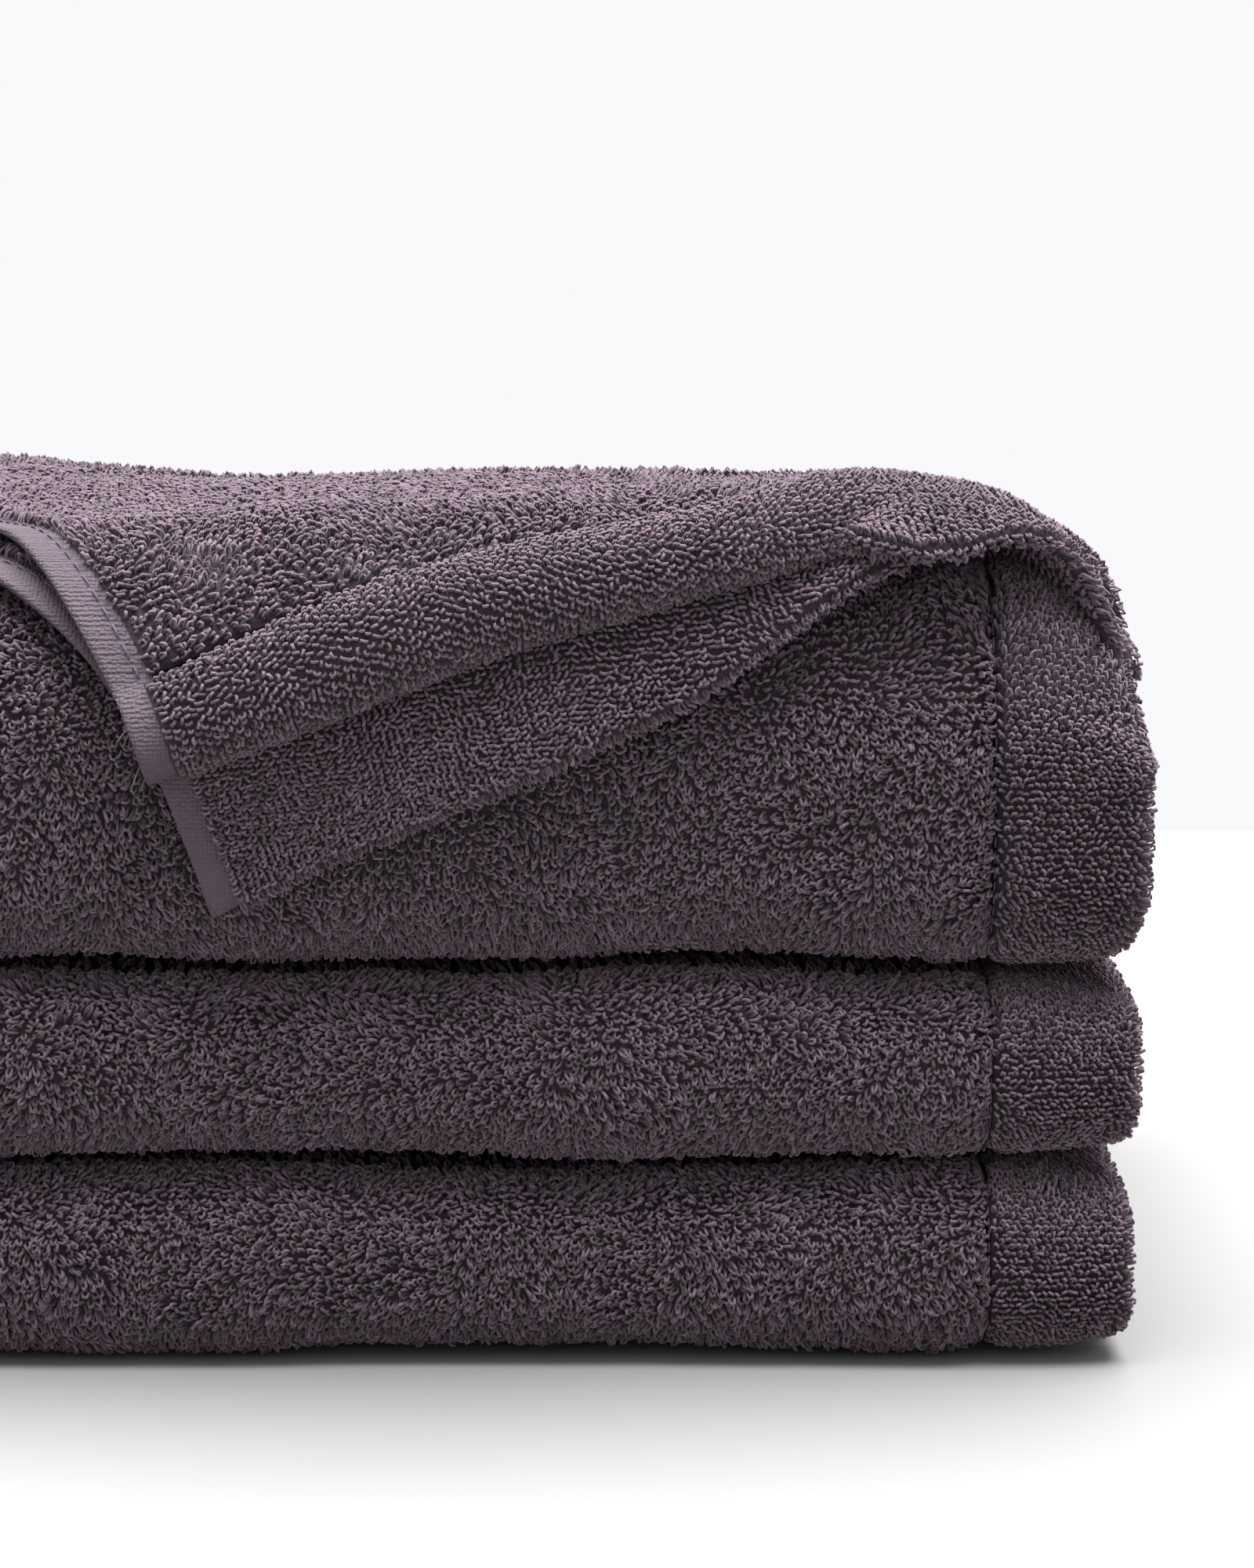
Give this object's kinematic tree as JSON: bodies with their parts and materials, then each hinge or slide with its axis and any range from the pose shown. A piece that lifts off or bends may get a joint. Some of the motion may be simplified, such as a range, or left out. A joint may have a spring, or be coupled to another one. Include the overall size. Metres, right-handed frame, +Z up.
{
  "type": "bath towel set",
  "caption": "Stack of folded terry bath towels with stitched end hems; the top towel's corner is folded forward along a diagonal crease and hangs over the front.",
  "frame": {"origin": "centre of the bounding box's underside, on the surface that the stack stands on", "axes": "+X towards the towels' end hems, -Y towards the front folds, +Z up"},
  "size_m": [0.35, 0.247, 0.167],
  "materials": {
    "terry": "looped cotton pile, matt charcoal with a mauve cast",
    "end_hem_terry": "short dense loops in rows",
    "woven_side_hem": "flat plain weave",
    "stitching_thread": "fine sewing thread"
  },
  "bodies": {
    "bottom_towel": {"bottom_towel_body": "terry", "bottom_towel_end_hem_stitching": "stitching_thread", "bottom_towel_inner_end_hem": "end_hem_terry", "bottom_towel_inner_side_hems": "woven_side_hem", "bottom_towel_outer_end_hem": "end_hem_terry", "bottom_towel_outer_side_hems": "woven_side_hem", "bottom_towel_side_hem_stitching": "stitching_thread"},
    "middle_towel": {"middle_towel_body": "terry", "middle_towel_end_hem_stitching": "stitching_thread", "middle_towel_inner_end_hem": "end_hem_terry", "middle_towel_inner_side_hems": "woven_side_hem", "middle_towel_outer_end_hem": "end_hem_terry", "middle_towel_outer_side_hems": "woven_side_hem", "middle_towel_side_hem_stitching": "stitching_thread"},
    "top_towel": {"top_towel_body": "terry", "top_towel_end_hem_stitching": "stitching_thread", "top_towel_inner_end_hem": "end_hem_terry", "top_towel_inner_side_hems": "woven_side_hem", "top_towel_outer_end_hem": "end_hem_terry", "top_towel_outer_side_hems": "woven_side_hem", "top_towel_side_hem_stitching": "stitching_thread"},
    "turned_corner": {"flap_lower_end_hem": "end_hem_terry", "flap_lower_end_hem_stitching": "stitching_thread", "flap_lower_side_hem": "woven_side_hem", "flap_lower_side_hem_stitching": "stitching_thread", "flap_lower_terry": "terry", "flap_upper_end_hem": "end_hem_terry", "flap_upper_end_hem_stitching": "stitching_thread", "flap_upper_side_hem": "woven_side_hem", "flap_upper_side_hem_stitching": "stitching_thread", "flap_upper_terry": "terry"},
    "hanging_tip": {"corner_lower_end_hem": "end_hem_terry", "corner_lower_end_hem_stitching": "stitching_thread", "corner_lower_side_hem": "woven_side_hem", "corner_lower_side_hem_stitching": "stitching_thread", "corner_lower_terry": "terry", "corner_upper_end_hem": "end_hem_terry", "corner_upper_end_hem_stitching": "stitching_thread"}
  },
  "joints": [
    {"name": "middle_towel_lift", "type": "slide", "parent": "bottom_towel", "child": "middle_towel", "axis": [0, 0, 1], "range_m": [0, 0.035]},
    {"name": "top_towel_lift", "type": "slide", "parent": "middle_towel", "child": "top_towel", "axis": [0, 0, 1], "range_m": [0, 0.045]},
    {"name": "corner_fold", "type": "hinge", "parent": "top_towel", "child": "turned_corner", "pos_m": [0.172, -0.0795, 0.15615], "axis": [-0.8425, 0.5388, 0], "range_deg": [0, 180]},
    {"name": "hanging_tip_fold", "type": "hinge", "parent": "turned_corner", "child": "hanging_tip", "pos_m": [0, -0.11024, 0.15374], "axis": [-1, 0, 0], "range_deg": [0, 86]}
  ],
  "couplings": [
    {"joint": "hanging_tip_fold", "follows": "corner_fold", "ratio": 0.4775}
  ]
}
